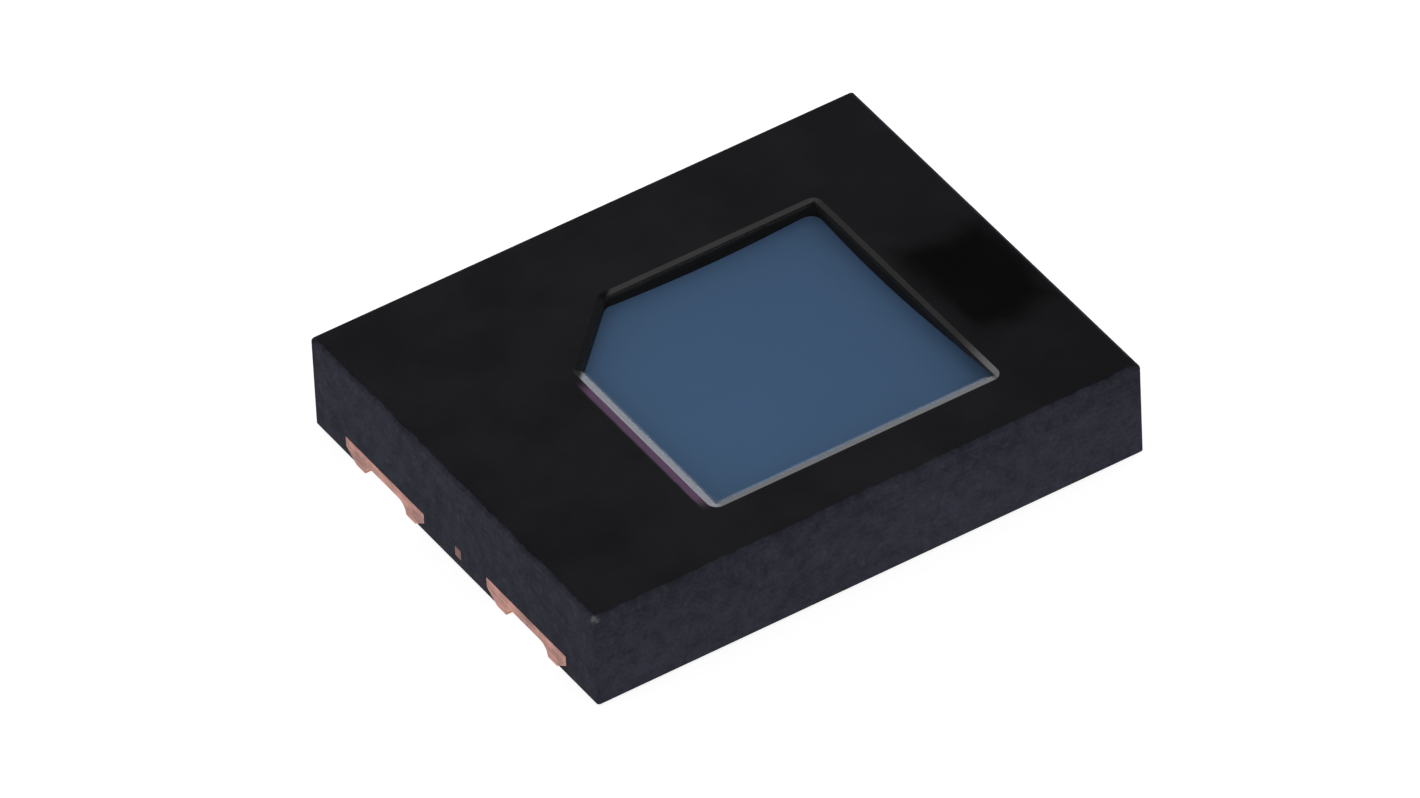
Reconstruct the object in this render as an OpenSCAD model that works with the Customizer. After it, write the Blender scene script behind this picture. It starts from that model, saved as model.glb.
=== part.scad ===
// Surface-mount photodiode: a silicon die on an etched copper leadframe, moulded in black epoxy,
// with a clear window over the die. The origin is at the middle of the footprint, on the board.
// X runs along the package from the anode end to the cathode end, and Z points away from the board.

/* [Package] */
// Length of the package along X
body_l = 5; // [4.4:0.1:6]
// Width of the package along Y
body_w = 4; // [3.6:0.1:5]
// Height of the package above the board
body_h = 0.9; // [0.8:0.01:1.3]
// Height of the moulding's underside above the board
stand_off = 0.02; // [0.01:0.005:0.05]
// Radius of the four edges round the top face
edge_r = 0.04; // [0.02:0.01:0.12]

/* [Window] */
// Moulding between the anode end and the window
margin_anode = 1.48; // [1.2:0.01:1.8]
// Moulding between the cathode end and the window
margin_cathode = 0.98; // [0.7:0.01:1.3]
// Moulding between the front side and the window
margin_front = 0.57; // [0.4:0.01:0.9]
// Moulding between the back side and the window
margin_back = 0.94; // [0.5:0.01:1.2]
// Leg of the window's cut corner, which covers the bond wire
corner_cut = 0.6; // [0.5:0.01:1]
// Radius of the window's upright corners
corner_r = 0.03; // [0.02:0.01:0.07]
// Width of the slope round the window's rim
rim_w = 0.055; // [0.03:0.005:0.1]
// Depth of the slope round the window's rim
rim_t = 0.012; // [0.006:0.002:0.03]
// Depth of the clear filling's level below the foot of the rim's slope
fill_sag = 0.01; // [0.01:0.005:0.05]
// Width of the filling's climb at the window's wall
climb_w = 0.05; // [0.03:0.01:0.07]
// Radius of the filling's climb up the window's wall
climb_r = 0.2; // [0.14:0.01:0.24]

/* [Die] */
// Thickness of the silicon die
die_t = 0.47; // [0.3:0.01:0.5]
// Width of the die's border that the moulding covers
die_cover = 0.13; // [0.06:0.01:0.2]
// Thickness of the adhesive under the die
attach_t = 0.02; // [0.01:0.005:0.04]
// Width of the adhesive that stands out round the die
attach_rim = 0.05; // [0.02:0.01:0.09]

/* [Leadframe] */
// Thickness of the copper sheet
lead_t = 0.2; // [0.16:0.01:0.25]
// Depth of the half-etched steps and dimples
etch_t = 0.1; // [0.06:0.01:0.14]
// Width of the die pad's border round the die
pad_rim = 0.1; // [0.1:0.01:0.2]
// Gap between the die pad and the terminals at the anode end
lead_gap = 0.2; // [0.15:0.01:0.3]
// Width of a terminal
lead_w = 1.12; // [0.9:0.01:1.3]
// Distance between the centres of the two terminals at one end
lead_pitch = 2; // [1.7:0.05:2.3]
// Run of the etched slope between a terminal's solder face and its lip
slope_w = 0.14; // [0.08:0.01:0.18]
// Reach of a terminal's lip past the slope, into the moulding
lip_l = 0.05; // [0.02:0.01:0.1]
// Width of the dimple in a terminal's outer end
dimple_w = 0.58; // [0.4:0.01:0.7]
// Depth of the dimple along the terminal
dimple_l = 0.18; // [0.12:0.01:0.3]
// Width of the tie bar that holds the die pad at the anode end
tie_w = 0.09; // [0.06:0.01:0.15]
// Place of the tie bar along Y
tie_y = -0.04; // [-0.2:0.01:0.2]

/* [Bond wire] */
// Thickness of the wire
wire_d = 0.03; // [0.02:0.005:0.05]
// Least cover of moulding over the wire's loop
loop_cover = 0.03; // [0.02:0.01:0.06]
// Distance of the ball bond from the die's two edges
ball_inset = 0.3; // [0.25:0.01:0.36]
// Diameter of the ball bond
ball_d = 0.09; // [0.06:0.01:0.12]
// Height of the ball bond
ball_h = 0.025; // [0.015:0.005:0.04]
// Distance of the stitch's far end from the terminal's inner end
stitch_inset = 0.35; // [0.25:0.01:0.45]
// Length of the stitch, where the wire lies on the terminal
stitch_l = 0.09; // [0.05:0.01:0.15]

/* [Hidden] */
$fn = 48;

// How far a cutter runs past the face that it opens
overrun = 0.1;

// Window, die and die pad as boxes: the lowest and the highest corner in plan
window_low = [-body_l / 2 + margin_anode, -body_w / 2 + margin_front];
window_high = [body_l / 2 - margin_cathode, body_w / 2 - margin_back];
die_low = window_low - [die_cover, die_cover];
die_high = window_high + [die_cover, die_cover];
pad_low = die_low - [pad_rim, pad_rim];
pad_high = die_high + [pad_rim, pad_rim];

// Levels of the stack, from the board up
attach_z = lead_t;
die_z = attach_z + attach_t;
die_top = die_z + die_t;
rim_z = body_h - rim_t;
fill_z = rim_z - fill_sag;

// A terminal reaches from the end of the package to the gap beside the die pad
lead_l = pad_low.x - lead_gap + body_l / 2;
solder_l = lead_l - slope_w - lip_l;
solder_w = lead_w - 2 * slope_w;
lead_y = lead_pitch / 2;

// The wire's two ends, and its control points: straight up from the ball, level over the die's edge
// and on towards the stitch, then down to it
wire_sides = 8;
wire_steps = 20;
ball_at = [die_low.x + ball_inset, die_high.y - ball_inset];
stitch_end = [-body_l / 2 + lead_l - stitch_inset, lead_y];
wire_run = stitch_end - ball_at;
wire_dir = wire_run / norm(wire_run);
stitch_at = stitch_end - stitch_l * wire_dir;
loop_z = body_h - loop_cover - wire_d / 2;
stitch_z = lead_t + wire_d / 2;
edge_share = ball_inset / (ball_at.x - stitch_at.x);
level_shares = [0, 0.5, 0.8];
landing_share = 0.9;
wire_controls = concat(
    [along_wire(0, die_top + ball_h / 2), along_wire(0, loop_z)],
    [for (share = level_shares) along_wire(edge_share + share * (1 - edge_share), loop_z)],
    [along_wire(landing_share, stitch_z), along_wire(1, stitch_z)]
);

// A point over the line from the ball to the stitch
function along_wire(share, z) = [
    ball_at.x + share * (stitch_at.x - ball_at.x),
    ball_at.y + share * (stitch_at.y - ball_at.y),
    z
];

// A point of the curve that a list of control points gives
function curve_point(points, t) =
    len(points) == 1
    ? points[0]
    : curve_point([for (i = [0 : len(points) - 2]) (1 - t) * points[i] + t * points[i + 1]], t);

// The window's outline, moved in on all sides: a rectangle with one corner cut at 45 degrees
function window_outline(inset) =
    let (
        low = window_low + [inset, inset],
        high = window_high - [inset, inset],
        cut = corner_cut - (2 - sqrt(2)) * inset
    )
    [
        low,
        [high.x, low.y],
        high,
        [low.x + cut, high.y],
        [low.x, high.y - cut]
    ];

// One straight side of a closed outline, as its start, its length and its angle
function side_vector(points, i) = points[(i + 1) % len(points)] - points[i];
function side_angle(points, i) = atan2(side_vector(points, i).y, side_vector(points, i).x);

// A convex outline grown by r, with arcs round its corners
module grown_outline(points, r) {
    polygon(points);
    for (i = [0 : len(points) - 1])
        translate(points[i]) {
            circle(r);
            rotate(side_angle(points, i))
                translate([0, -r])
                    square([norm(side_vector(points, i)), r]);
        }
}

// A convex outline grown by r, with walls that lean out by w over the height h
module flared_outline(points, r, w, h) {
    linear_extrude(h)
        polygon(points);
    for (i = [0 : len(points) - 1])
        translate(points[i]) {
            cylinder(h = h, r1 = r, r2 = r + w);
            rotate([90, 0, side_angle(points, i) + 90])
                linear_extrude(norm(side_vector(points, i)))
                    polygon([[0, 0], [-r, 0], [-r - w, h], [0, h]]);
        }
}

// The path of a ball of radius r along a closed outline
module rolled_edge(points, r) {
    for (i = [0 : len(points) - 1])
        translate(points[i]) {
            sphere(r);
            rotate([0, 90, side_angle(points, i)])
                cylinder(h = norm(side_vector(points, i)), r = r);
        }
}

// A rectangle on the x axis with round shoulders, and a skirt below the axis
module shouldered(l, h, r, skirt) {
    translate([-l / 2, -skirt])
        square([l, h - r + skirt]);
    translate([-l / 2 + r, -skirt])
        square([l - 2 * r, h + skirt]);
    for (side = [-1, 1])
        translate([side * (l / 2 - r), h - r])
            circle(r);
}

// A block on z = 0 whose four upper edges are round, and a skirt below it
module round_topped(l, w, h, r, skirt = 0) {
    intersection() {
        rotate([90, 0, 0])
            linear_extrude(w, center = true)
                shouldered(l, h, r, skirt);
        rotate([90, 0, 90])
            linear_extrude(l, center = true)
                shouldered(w, h, r, skirt);
    }
}

// A box between two corners in plan and two levels
module slab(low, high, bottom, top) {
    translate([low.x, low.y, bottom])
        cube([high.x - low.x, high.y - low.y, top - bottom]);
}

// A terminal at the anode end before its dimple is etched: solder face, slopes and lip.
// It may run past the end of the package, to cut the moulding.
module terminal_blank(run = 0) {
    across = [
        [-solder_w / 2, 0],
        [solder_w / 2, 0],
        [lead_w / 2, etch_t],
        [lead_w / 2, lead_t],
        [-lead_w / 2, lead_t],
        [-lead_w / 2, etch_t]
    ];
    along = [
        [-run, 0],
        [solder_l, 0],
        [solder_l + slope_w, etch_t],
        [lead_l, etch_t],
        [lead_l, lead_t],
        [-run, lead_t]
    ];
    translate([-body_l / 2, 0, 0])
        intersection() {
            translate([-run, 0, 0])
                rotate([90, 0, 90])
                    linear_extrude(lead_l + run)
                        polygon(across);
            rotate([90, 0, 0])
                linear_extrude(lead_w, center = true)
                    polygon(along);
        }
}

// The same terminal with its dimple, an etched arch that leaves two feet at the end
module terminal() {
    difference() {
        terminal_blank();
        translate([-body_l / 2, 0, 0])
            round_topped(2 * dimple_l, dimple_w, etch_t, etch_t, overrun);
    }
}

// The half-etched middle of the cathode frame: die pad, its two arms and the tie bar
module frame_web(run = 0) {
    slab(pad_low, pad_high, etch_t, lead_t);
    for (side = [-1, 1])
        slab(
            [pad_high.x, side * lead_y - lead_w / 2],
            [body_l / 2 + run, side * lead_y + lead_w / 2],
            etch_t,
            lead_t
        );
    slab(
        [-body_l / 2 - run, tie_y - tie_w / 2],
        [pad_low.x, tie_y + tie_w / 2],
        etch_t,
        lead_t
    );
}

// The two places at one end, for what is drawn at the anode end on the centre line
module at_anode_end() {
    for (side = [-1, 1])
        translate([0, side * lead_y, 0])
            children();
}

module at_cathode_end() {
    mirror([1, 0, 0])
        at_anode_end()
            children();
}

// The wire as a tube round its curve, which lies in one upright plane
module wire_tube() {
    curve = [for (i = [0 : wire_steps]) curve_point(wire_controls, i / wire_steps)];
    path = concat(curve, [[stitch_end.x, stitch_end.y, stitch_z]]);
    last = len(path) - 1;
    across = [-wire_dir.y, wire_dir.x, 0];
    flat_r = wire_d / 2 / cos(180 / wire_sides);
    rings = [
        for (i = [0 : last])
            let (
                step = path[min(i + 1, last)] - path[max(i - 1, 0)],
                normal = cross(step / norm(step), across)
            )
            for (k = [0 : wire_sides - 1])
                let (angle = (k + 0.5) * 360 / wire_sides)
                path[i] + flat_r * (cos(angle) * across + sin(angle) * normal)
    ];
    walls = [
        for (i = [0 : last - 1])
            for (k = [0 : wire_sides - 1])
                let (next = (k + 1) % wire_sides)
                [
                    i * wire_sides + k,
                    i * wire_sides + next,
                    (i + 1) * wire_sides + next,
                    (i + 1) * wire_sides + k
                ]
    ];
    first_cap = [for (k = [wire_sides - 1 : -1 : 0]) k];
    last_cap = [for (k = [0 : wire_sides - 1]) last * wire_sides + k];
    polyhedron(rings, concat(walls, [first_cap, last_cap]));
}

module mould_body() {
    color("#1c1c1f")
        difference() {
            translate([0, 0, stand_off])
                round_topped(body_l, body_w, body_h - stand_off, edge_r);
            translate([0, 0, die_top])
                linear_extrude(body_h - die_top + overrun)
                    grown_outline(window_outline(corner_r), corner_r);
            translate([0, 0, rim_z])
                flared_outline(window_outline(corner_r), corner_r, 2 * rim_w, 2 * rim_t);
            photodiode_chip();
            die_attach();
            frame_web(overrun);
            at_anode_end()
                terminal_blank(overrun);
            at_cathode_end()
                terminal_blank(overrun);
            bond_wire();
        }
}

module window_fill() {
    color("#dfe8ee", 0.35)
        difference() {
            translate([0, 0, die_top])
                linear_extrude(rim_z - die_top)
                    grown_outline(window_outline(corner_r), corner_r);
            translate([0, 0, fill_z])
                linear_extrude(fill_sag + overrun)
                    polygon(window_outline(climb_w));
            translate([0, 0, fill_z + climb_r])
                rolled_edge(window_outline(climb_w), climb_r);
        }
}

module photodiode_chip() {
    color("#3f5672")
        slab(die_low, die_high, die_z, die_top);
}

module die_attach() {
    rim = [attach_rim, attach_rim];
    color("#b8b8ba")
        slab(die_low - rim, die_high + rim, attach_z, die_z);
}

module cathode_frame() {
    color("#d99a86") {
        frame_web();
        at_cathode_end()
            terminal();
    }
}

module anode_terminal() {
    color("#dca08c")
        translate([0, lead_y, 0])
            terminal();
}

module spare_terminal() {
    color("#dca08c")
        translate([0, -lead_y, 0])
            terminal();
}

module bond_wire() {
    color("#d9b350") {
        translate([ball_at.x, ball_at.y, die_top])
            cylinder(h = ball_h, d = ball_d, $fn = 12);
        wire_tube();
    }
}

mould_body();
window_fill();
photodiode_chip();
die_attach();
cathode_frame();
anode_terminal();
spare_terminal();
bond_wire();
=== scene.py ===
"""Looks of a moulded surface-mount photodiode, laid out as an add-on and run as a script.

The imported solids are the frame. The moulding, the window resin, the copper and the wire get fine meshes
in place of their solids, every piece gets its finish, and a small studio shows the part.
"""

import math

import bmesh
import bpy
from mathutils import Matrix, Vector
from mathutils.geometry import tessellate_polygon


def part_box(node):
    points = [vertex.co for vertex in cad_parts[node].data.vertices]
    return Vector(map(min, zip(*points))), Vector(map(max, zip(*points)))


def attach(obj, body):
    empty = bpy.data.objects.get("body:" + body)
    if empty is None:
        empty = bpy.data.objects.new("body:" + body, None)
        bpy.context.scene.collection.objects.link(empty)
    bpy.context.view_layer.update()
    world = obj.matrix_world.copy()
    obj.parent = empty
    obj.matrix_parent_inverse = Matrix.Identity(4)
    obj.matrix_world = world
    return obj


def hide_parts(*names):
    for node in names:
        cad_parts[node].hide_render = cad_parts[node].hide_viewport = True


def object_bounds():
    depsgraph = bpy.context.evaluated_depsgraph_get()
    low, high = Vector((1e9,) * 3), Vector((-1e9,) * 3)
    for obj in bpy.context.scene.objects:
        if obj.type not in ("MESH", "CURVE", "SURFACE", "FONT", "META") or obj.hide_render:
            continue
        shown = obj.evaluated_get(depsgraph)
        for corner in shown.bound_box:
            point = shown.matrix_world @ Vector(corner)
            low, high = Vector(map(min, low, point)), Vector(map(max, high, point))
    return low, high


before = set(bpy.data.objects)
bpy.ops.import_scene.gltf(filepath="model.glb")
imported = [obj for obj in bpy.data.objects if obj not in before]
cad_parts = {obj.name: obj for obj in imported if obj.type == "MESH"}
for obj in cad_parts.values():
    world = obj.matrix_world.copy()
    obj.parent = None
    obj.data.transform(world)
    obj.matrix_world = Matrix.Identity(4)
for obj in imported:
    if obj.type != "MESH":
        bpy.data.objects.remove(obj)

bl_info = {
    "name": "Moulded photodiode",
    "version": (1, 0, 0),
    "blender": (4, 5, 0),
    "location": "3D View > Sidebar > Photodiode",
    "description": "Dresses the solids of a surface-mount photodiode and sets up a studio for it",
    "category": "Object",
}

CAD_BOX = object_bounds()
BODY = "root"
MM = 0.001
PHOTO_WIDTH = 1420
SENSOR_WIDTH = 36.0
# Points this close, in millimetres, are welded, and faces that turn by less than this are one flat face
WELD = 1e-4
FLAT = math.radians(0.1)
# Edges that turn by more than this are rounded
SHARP = math.radians(25)
# Steps in each corner of the window, and points in each wall that swells
WINDOW_STEPS = 10
SWELL_STEPS = 11
# Thickness in millimetres of what lies on a surface as a film
SKIM = 0.001
# The window's sides, counted from the front one
CATHODE_SIDE = 1
BACK_SIDE = 2


def in_mm(box):
    """A box's lowest and highest corners in millimetres, in which the meshes are drawn."""
    return [Vector(corner) / MM for corner in box]


MOULD_LOW, MOULD_HIGH = in_mm(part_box("mould_body"))
WINDOW_LOW, WINDOW_HIGH = in_mm(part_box("window_fill"))
DIE_LOW, DIE_HIGH = in_mm(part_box("photodiode_chip"))
ATTACH_LOW, ATTACH_HIGH = in_mm(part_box("die_attach"))
ANODE_LOW, ANODE_HIGH = in_mm(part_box("anode_terminal"))
SPARE_LOW, SPARE_HIGH = in_mm(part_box("spare_terminal"))
FRAME_LOW, _ = in_mm(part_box("cathode_frame"))


def number(name, description, default, **kind):
    """A number that a user may change, with what its kind asks for."""
    return bpy.props.FloatProperty(name=name, description=description, default=default, **kind)


def position(name, description, millimetres, **kind):
    """A place along one axis, kept in metres."""
    return number(name, description, millimetres * MM, unit="LENGTH", precision=6, **kind)


def length(name, description, millimetres):
    """A size, kept in metres."""
    return position(name, description, millimetres, min=0.0)


def angle(name, description, degrees):
    """An angle, kept in radians."""
    return number(name, description, math.radians(degrees), subtype="ANGLE")


def share(name, description, default):
    """A number from 0 to 1."""
    return number(name, description, default, min=0.0, max=1.0, subtype="FACTOR")


def colour(name, description, default):
    """A linear colour that a user may change."""
    return bpy.props.FloatVectorProperty(
        name=name, description=description, default=default, size=3, min=0.0, max=1.0, subtype="COLOR"
    )


class MouldLook(bpy.types.PropertyGroup):
    """Edges and colours of the black moulding."""

    top_edge: length("Top edge", "Radius of the edges round the top face", 0.04)
    side_edge: length("Side edge", "Radius of the sawn upright edges", 0.025)
    base_edge: length("Base edge", "Radius of the edges round the underside", 0.012)
    rim_width: length("Rim width", "Width of the slope round the window's rim", 0.061)
    rim_depth: length("Rim depth", "Depth of the slope round the window's rim", 0.0133)
    corner_cut: length("Corner cut", "Leg of the window's cut corner", 0.6)
    corner_radius: length("Corner radius", "Radius of the window's upright corners", 0.03)
    foot_radius: length("Foot radius", "Radius of the window's corners on the die", 0.1)
    foot_lean: length("Foot lean", "How far the cathode wall's foot leans outwards at the front", 0.08)
    back_swell: length("Back swell", "How far the back wall swells at its foot on the die", 0.034)
    cathode_swell: length("Cathode swell", "How far the cathode wall swells at its foot", 0.052)
    top_colour: colour("Top colour", "Moulded skin of the compound", (0.0051, 0.0047, 0.0055))
    sawn_colour: colour("Sawn colour", "Sawn face of the compound", (0.0248, 0.0256, 0.036))
    grain_colour: colour("Grain colour", "Filler grains cut open by the saw", (0.07, 0.07, 0.08))
    # Painted highlight on the front top corner at the anode end
    corner_highlight_colour: colour("Chip colour", "Chipped front corner of the top", (0.1, 0.1, 0.11))
    # Painted highlight on the rim's slope on the cathode side near the window's front corner, and how far
    # back it reaches
    rim_highlight_colour: colour("Pool colour", "Resin that pooled in the window's front corner", (0.14, 0.14, 0.145))
    rim_highlight_reach: length("Pool reach", "How far that resin runs back from the front corner", 0.7)
    # Where the painted dark reflection on the top face lies, and its size
    dark_reflection_x: position("Smear X", "Middle of the dark smear on the top, along the package", 2.08)
    dark_reflection_y: position("Smear Y", "Middle of the smear across the package", -0.4)
    dark_reflection_half_x: length("Smear half X", "Half the smear's size along the package", 0.4)
    dark_reflection_half_y: length("Smear half Y", "Half the smear's size across the package", 0.62)
    bleed_width: length("Bleed width", "Width of the resin film beside the window", 0.058)
    bleed_colour: colour("Bleed colour", "Film of resin that crept over the rim", (0.112, 0.065, 0.114))
    bleed_edge: colour("Bleed edge", "Outer edge of that film", (0.004, 0.007, 0.005))


class ResinLook(bpy.types.PropertyGroup):
    """Form and colour of the clear filling."""

    sag: length("Sag", "Depth of the filling's level below the foot of the rim's slope", 0.0055)
    climb_width: length("Climb width", "Width of the meniscus at the window's wall", 0.05)
    climb_radius: length("Climb radius", "Radius of the meniscus", 0.28)
    bond: length("Bond", "Overlap with the walls that the resin sticks to", 0.01)
    tint: colour("Tint", "Colour of the light that comes through", (0.985, 0.99, 0.995))
    refraction: number("Refraction", "Index of refraction", 1.51)


class DieLook(bpy.types.PropertyGroup):
    """Coating of the silicon die."""

    coating: colour("Coating", "Anti-reflection coating", (0.126, 0.246, 0.432))
    # Painted shade: a darker copy of the coating, used towards the cathode end and the back
    shaded_coating: colour("Far coating", "Coating towards the cathode end", (0.112, 0.217, 0.392))
    bare: colour("Bare silicon", "Sawn sides of the die", (0.2, 0.2, 0.22))
    pad: colour("Bond pad", "Aluminium under the ball bond", (0.8, 0.8, 0.82))
    pad_size: length("Bond pad size", "Side of the square bond pad", 0.14)
    roughness: share("Roughness", "Blur of the die's reflections", 0.5)


class CopperLook(bpy.types.PropertyGroup):
    """Form and colours of the etched copper."""

    slope: length("Slope", "Run of the etched slope beside the solder face", 0.14)
    lip: length("Lip", "Reach of the upper lip past the slope", 0.05)
    etch: length("Etch depth", "Depth of the half-etched steps and dimples", 0.1)
    dimple_width: length("Dimple width", "Width of the dimple in a terminal's end", 0.58)
    dimple_depth: length("Dimple depth", "Depth of the dimple along the terminal", 0.18)
    dimple_corner: length("Dimple corner", "Radius of the dimple's inner corners", 0.06)
    tie_width: length("Tie bar width", "Width of the die pad's tie bar", 0.09)
    tie_place: position("Tie bar place", "Place of the tie bar across the package", -0.04)
    edge: length("Edge", "Radius of the etched edges", 0.008)
    sawn_colour: colour("Sawn copper", "Ends bared by the saw", (0.452, 0.234, 0.198))
    etched_colour: colour("Etched copper", "Copper inside the moulding", (0.6, 0.25, 0.16))
    tin_colour: colour("Tin", "Plating of the solder faces", (0.62, 0.62, 0.6))


class AdhesiveLook(bpy.types.PropertyGroup):
    """Colours of the adhesive under the die."""

    paste: colour("Paste", "Adhesive between the flakes", (0.34, 0.34, 0.35))
    flake: colour("Flake", "Silver flakes", (0.62, 0.62, 0.63))


class WireLook(bpy.types.PropertyGroup):
    """Sizes, route and colours of the bond wire."""

    thickness: length("Thickness", "Diameter of the wire", 0.03)
    ball_inset: length("Ball inset", "Distance of the ball bond from the die's two edges", 0.3)
    ball_width: length("Ball width", "Diameter of the ball bond", 0.088)
    ball_height: length("Ball height", "Height of the ball bond", 0.025)
    loop_cover: length("Loop cover", "Least cover of moulding over the wire", 0.03)
    stitch_inset: length("Stitch inset", "Far end of the stitch from the terminal's inner end", 0.35)
    stitch: length("Stitch", "Length of wire that lies on the terminal", 0.09)
    dull_gold: colour("Dull gold", "Gold in the marks of drawing", (0.75, 0.5, 0.16))
    bright_gold: colour("Bright gold", "Gold between the marks", (0.88, 0.64, 0.26))


class StageLook(bpy.types.PropertyGroup):
    """Camera and light."""

    azimuth: angle("Azimuth", "Turn of the camera about the part", -31.34)
    elevation: angle("Elevation", "Height of the camera above the board", 41.27)
    roll: angle("Roll", "Turn of the camera about its own axis", -2.89)
    distance: length("Distance", "Camera to the middle of the part", 155.25)
    focal_pixels: number("Focal length", "Focal length in pixels of the photograph", 20224.0)
    centre_x: number("Centre X", "Middle of the part right of the picture's centre, in pixels", 16.9)
    centre_y: number("Centre Y", "Middle of the part above the picture's centre, in pixels", 4.3)
    floor_size: length("Floor", "Side of the square floor", 1000.0)
    floor_drop: length("Floor drop", "Depth of the floor below the solder faces", 0.002)
    floor_colour: colour("Floor colour", "Pale floor", (0.3, 0.3, 0.3))
    floor_glow: number("Floor glow", "Light that comes through the floor", 0.85)
    horizon: number("Horizon", "Light from the level of the floor", 0.6)
    lamp: number("Lamp", "Low light behind the part on the right", 4.35)
    lamp_colour: colour("Lamp colour", "Tint of that light", (0.81, 0.885, 1.0))
    sky: number("Sky", "Light from above", 0.8)
    card: number("Card", "What is left of that light where the top face mirrors a dark card", 0.08)
    card_inner: angle("Card core", "Half the angle of the card's dark core", 6.0)
    card_outer: angle("Card edge", "Half the angle at which the card has faded out", 26.0)


class PhotodiodeLook(bpy.types.PropertyGroup):
    """Everything that a user would change."""

    mould: bpy.props.PointerProperty(type=MouldLook)
    resin: bpy.props.PointerProperty(type=ResinLook)
    die: bpy.props.PointerProperty(type=DieLook)
    copper: bpy.props.PointerProperty(type=CopperLook)
    adhesive: bpy.props.PointerProperty(type=AdhesiveLook)
    wire: bpy.props.PointerProperty(type=WireLook)
    stage: bpy.props.PointerProperty(type=StageLook)


class Value:
    """A node's socket that takes part in Python sums."""

    def __init__(self, nodes, socket):
        self.nodes = nodes
        self.socket = socket

    def __add__(self, other):
        return self.nodes.math("ADD", self, other)

    def __sub__(self, other):
        return self.nodes.math("SUBTRACT", self, other)

    def __rsub__(self, other):
        return self.nodes.math("SUBTRACT", other, self)

    def __mul__(self, other):
        return self.nodes.math("MULTIPLY", self, other)

    def __truediv__(self, other):
        return self.nodes.math("DIVIDE", self, other)

    def __abs__(self):
        return self.nodes.math("ABSOLUTE", self)

    __radd__ = __add__
    __rmul__ = __mul__


class Nodes:
    """A node tree that is written as Python sums and calls."""

    # A Mix node's sockets for colours, among those for other kinds of value
    mix_factor, mix_a, mix_b, mix_result = 0, 6, 7, 2

    def __init__(self, tree):
        self.tree = tree

    def node(self, kind, settings=None, inputs=None, output=0):
        """Any node: its type, its settings, the values or links of its sockets, and the output wanted."""
        made = self.tree.nodes.new(kind)
        for name, value in (settings or {}).items():
            setattr(made, name, value)
        for name, value in (inputs or {}).items():
            self.give(made.inputs[name], value)
        return Value(self, made.outputs[output])

    def give(self, socket, value):
        """A link or a constant for a socket."""
        if isinstance(value, Value):
            self.tree.links.new(value.socket, socket)
        else:
            socket.default_value = value

    def math(self, operation, *values):
        """One Math node, with the values on its sockets in their order."""
        return self.node("ShaderNodeMath", {"operation": operation}, dict(enumerate(values)))

    def larger(self, a, b):
        return self.math("MAXIMUM", a, b)

    def step(self, value, low, high):
        """0 below low, 1 above high, and a smooth rise between them."""
        return self.node(
            "ShaderNodeMapRange",
            {"interpolation_type": "SMOOTHSTEP"},
            {"Value": value, "From Min": low, "From Max": high},
        )

    def parts(self, vector):
        """The three parts of a vector."""
        return [self.node("ShaderNodeSeparateXYZ", None, {0: vector}, output=i) for i in range(3)]

    def band(self, value, low, high, soft):
        """1 between low and high, 0 outside, with soft edges."""
        return self.step(value, low - soft, low + soft) * (1 - self.step(value, high - soft, high + soft))

    def mix(self, factor, a, b):
        """One colour turning into another."""
        a, b = [c if isinstance(c, Value) else (*c, 1.0) for c in (a, b)]
        inputs = {self.mix_factor: factor, self.mix_a: a, self.mix_b: b}
        return self.node("ShaderNodeMix", {"data_type": "RGBA"}, inputs, self.mix_result)


class Finish(Nodes):
    """One material, with a Principled shader that values are fed to."""

    def __init__(self, name, **constants):
        self.material = bpy.data.materials.new(name)
        self.material.use_nodes = True
        super().__init__(self.material.node_tree)
        self.shader = self.tree.nodes["Principled BSDF"]
        self.feed(**constants)

    def feed(self, **values):
        """Values for the Principled shader's own sockets."""
        for name, value in values.items():
            self.give(self.shader.inputs[name.replace("_", " ")], value)

    def millimetres(self):
        """The place on the part, in millimetres: the vector and its three parts."""
        place = self.node("ShaderNodeTexCoord", output="Object")
        scaled = self.node(
            "ShaderNodeVectorMath", {"operation": "SCALE"}, {"Vector": place, "Scale": 1 / MM}
        )
        return (scaled, *self.parts(scaled))

    def stretched(self, vector, scale):
        """The place with each axis scaled by itself."""
        return self.node("ShaderNodeVectorMath", {"operation": "MULTIPLY"}, {0: vector, 1: scale})

    def noise(self, vector, scale, detail=3.0, roughness=0.5):
        """Soft clouds between 0 and 1, with about as many of them in a millimetre as the scale says."""
        inputs = {"Vector": vector, "Scale": scale, "Detail": detail, "Roughness": roughness}
        return self.node("ShaderNodeTexNoise", None, inputs)

    def facing(self):
        """The three parts of the surface's own normal."""
        return self.parts(self.node("ShaderNodeNewGeometry", output="Normal"))

    def grains(self, vector, scale, core, rare):
        """Round grains that fade out from their core, in the cells whose own number lies above rare."""
        inputs = {"Vector": vector, "Scale": scale}
        distance = self.node("ShaderNodeTexVoronoi", {"feature": "F1"}, inputs)
        own = self.node("ShaderNodeTexVoronoi", {"feature": "F1"}, inputs, output="Color")
        return (1 - self.step(distance, core, 0.5)) * self.step(self.parts(own)[0], rare, 1.0)

    def bump(self, height, strength, distance):
        """A normal from a height, with the relief's depth in metres."""
        inputs = {"Height": height, "Strength": strength, "Distance": distance}
        return self.node("ShaderNodeBump", None, inputs)


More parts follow.
